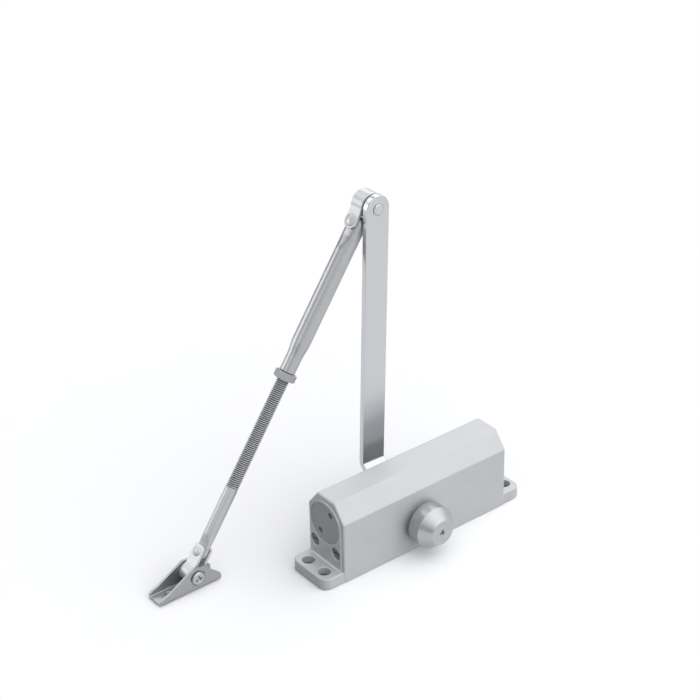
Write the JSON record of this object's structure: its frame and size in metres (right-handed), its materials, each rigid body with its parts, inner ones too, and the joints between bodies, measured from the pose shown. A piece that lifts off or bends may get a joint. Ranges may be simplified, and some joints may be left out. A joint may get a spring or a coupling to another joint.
{
  "type": "door closer",
  "caption": "Surface-mounted door closer: chamfered rack-and-pinion body, conical spindle cap, flat main arm, adjustable rod forearm and shoe bracket.",
  "frame": {"origin": "centre of the flat face that bolts to the door", "axes": "+X along the body away from the speed valves, +Y towards the arm, +Z away from the door"},
  "size_m": [0.2998, 0.1076, 0.27],
  "materials": {
    "casting_paint": "satin silver paint over a die casting",
    "plug_grey": "satin grey paint",
    "gland_zinc": "zinc plated, turned",
    "seal_rubber": "matt",
    "spring_steel": "oil-tempered wire",
    "bronze": "sintered bronze",
    "machined_steel": "ground",
    "cap_satin": "turned, satin silver",
    "screw_bright": "bright zinc plating",
    "screw_dark": "black oxide",
    "arm_paint": "satin silver paint",
    "strap_zinc": "bright zinc plating",
    "nylon": "moulded",
    "tube_satin": "satin silver paint",
    "rod_zinc": "rolled thread, dull zinc plating",
    "shoe_zinc": "pressed sheet, zinc plating"
  },
  "bodies": {
    "housing": {"body_casting": "casting_paint", "end_plug_left": "plug_grey", "end_plug_right": "plug_grey", "plug_seal_left": "seal_rubber", "plug_seal_right": "seal_rubber", "gland_front": "gland_zinc", "gland_rear": "gland_zinc", "bearing_front": "bronze", "bearing_rear": "bronze", "shaft_seal_front": "seal_rubber", "shaft_seal_rear": "seal_rubber", "return_spring": "spring_steel", "spring_seat": "machined_steel"},
    "piston": {"piston": "machined_steel", "piston_seal": "seal_rubber", "check_valve_seat": "bronze", "check_ball": "screw_bright"},
    "closing_valve": {"closing_valve": "screw_dark", "closing_valve_seal": "seal_rubber"},
    "latching_valve": {"latching_valve": "screw_dark", "latching_valve_seal": "seal_rubber"},
    "spindle": {"pinion_shaft": "machined_steel", "spindle_cap": "cap_satin", "cap_screw": "cap_satin", "main_arm": "arm_paint", "arm_washer": "gland_zinc", "arm_screw": "screw_dark", "elbow_rivet": "arm_paint"},
    "elbow": {"elbow_strap": "strap_zinc", "elbow_bush": "nylon", "forearm_rivet": "strap_zinc", "elbow_washer": "gland_zinc"},
    "forearm": {"forearm_tube": "tube_satin"},
    "lock_nut": {"lock_nut": "tube_satin"},
    "rod": {"threaded_rod": "rod_zinc"},
    "foot": {"foot_strap": "strap_zinc", "foot_bush": "nylon", "foot_rivet": "strap_zinc"},
    "shoe": {"shoe_bracket": "shoe_zinc", "shoe_screw": "screw_bright", "shoe_nut": "gland_zinc"}
  },
  "joints": [
    {"name": "spindle_turn", "type": "hinge", "parent": "housing", "child": "spindle", "pos_m": [-0.005, 0, 0.024], "axis": [0, 1, 0], "range_deg": [0, 90], "stiffness_Nm_per_rad": 3, "springref_deg": -114.59},
    {"name": "piston_slide", "type": "slide", "parent": "housing", "child": "piston", "axis": [1, 0, 0], "range_m": [0, 0.0126], "deforming": ["return_spring"]},
    {"name": "closing_valve_turn", "type": "hinge", "parent": "housing", "child": "closing_valve", "pos_m": [-0.08, 0.0125, 0.022], "axis": [1, 0, 0], "range_deg": [-180, 180]},
    {"name": "latching_valve_turn", "type": "hinge", "parent": "housing", "child": "latching_valve", "pos_m": [-0.08, -0.0125, 0.022], "axis": [1, 0, 0], "range_deg": [-180, 180]},
    {"name": "elbow_turn", "type": "hinge", "parent": "spindle", "child": "elbow", "pos_m": [0.003, 0.05, 0.2595], "axis": [0, 1, 0], "range_deg": [-20, 140]},
    {"name": "forearm_tilt", "type": "hinge", "parent": "elbow", "child": "forearm", "pos_m": [-0.00579, 0.05, 0.24673], "axis": [-0.8238, 0, 0.5669], "range_deg": [-6, 0.5]},
    {"name": "lock_nut_turn", "type": "hinge", "parent": "forearm", "child": "lock_nut", "pos_m": [-0.07617, 0.05, 0.14446], "axis": [0.5669, 0, 0.8238], "continuous": true},
    {"name": "rod_extend", "type": "slide", "parent": "forearm", "child": "rod", "axis": [-0.5669, 0, -0.8238], "range_m": [-0.05, 0.03]},
    {"name": "foot_tilt", "type": "hinge", "parent": "rod", "child": "foot", "pos_m": [-0.15836, 0.05, 0.025], "axis": [-0.8238, 0, 0.5669], "range_deg": [-6, 6]},
    {"name": "shoe_turn", "type": "hinge", "parent": "foot", "child": "shoe", "pos_m": [-0.168, 0.05, 0.011], "axis": [0, 1, 0], "range_deg": [-45, 110]}
  ],
  "couplings": [
    {"joint": "piston_slide", "follows": "spindle_turn", "m_per_rad": 0.008}
  ]
}
